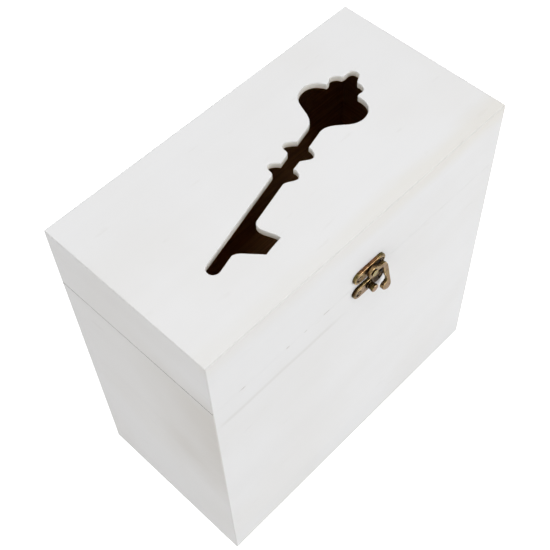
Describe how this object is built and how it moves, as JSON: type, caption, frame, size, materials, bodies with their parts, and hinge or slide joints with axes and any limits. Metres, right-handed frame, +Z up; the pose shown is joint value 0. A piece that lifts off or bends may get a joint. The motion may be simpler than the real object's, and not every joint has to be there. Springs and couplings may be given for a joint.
{
  "type": "wooden money box",
  "caption": "Rectangular wooden money box with a hinged lid, a coin slot shaped like an old key, and a small swing-hook latch on the front.",
  "frame": {"origin": "centre of the underside of the box", "axes": "+Z up, +X along the long side, +Y from the latch side towards the hinge side"},
  "size_m": [0.24, 0.1352, 0.248],
  "materials": {
    "whitewashed_wood": "matte whitewash over fine straight grain",
    "base_plywood": "matte bare plywood",
    "antique_bronze": "satin, darkened in the recesses and rubbed bright on the edges",
    "bronzed_steel": "satin bronzed plating"
  },
  "bodies": {
    "root": {"front_panel": "whitewashed_wood", "back_panel": "whitewashed_wood", "left_panel": "whitewashed_wood", "right_panel": "whitewashed_wood", "bottom_panel": "base_plywood", "left_hinge_body_leaf": "antique_bronze", "left_hinge_pin": "bronzed_steel", "right_hinge_body_leaf": "antique_bronze", "right_hinge_pin": "bronzed_steel", "hinge_body_screws": "bronzed_steel", "latch_lower_plate": "antique_bronze", "latch_stud": "antique_bronze", "latch_lower_screws": "bronzed_steel"},
    "lid": {"lid_top_panel": "whitewashed_wood", "lid_front_strip": "whitewashed_wood", "lid_back_strip": "whitewashed_wood", "lid_left_strip": "whitewashed_wood", "lid_right_strip": "whitewashed_wood", "left_hinge_lid_leaf": "antique_bronze", "right_hinge_lid_leaf": "antique_bronze", "hinge_lid_screws": "bronzed_steel", "latch_upper_plate": "antique_bronze", "latch_pivot_rivet": "antique_bronze", "latch_upper_screws": "bronzed_steel"},
    "hook": {"latch_hook": "antique_bronze"}
  },
  "joints": [
    {"name": "lid_hinge", "type": "hinge", "parent": "root", "child": "lid", "pos_m": [0, 0.0642, 0.2], "axis": [-1, 0, 0], "range_deg": [0, 175]},
    {"name": "hook_pivot", "type": "hinge", "parent": "lid", "child": "hook", "pos_m": [0.002, -0.0665, 0.2076], "axis": [0, -1, 0], "range_deg": [-28, 180]}
  ]
}
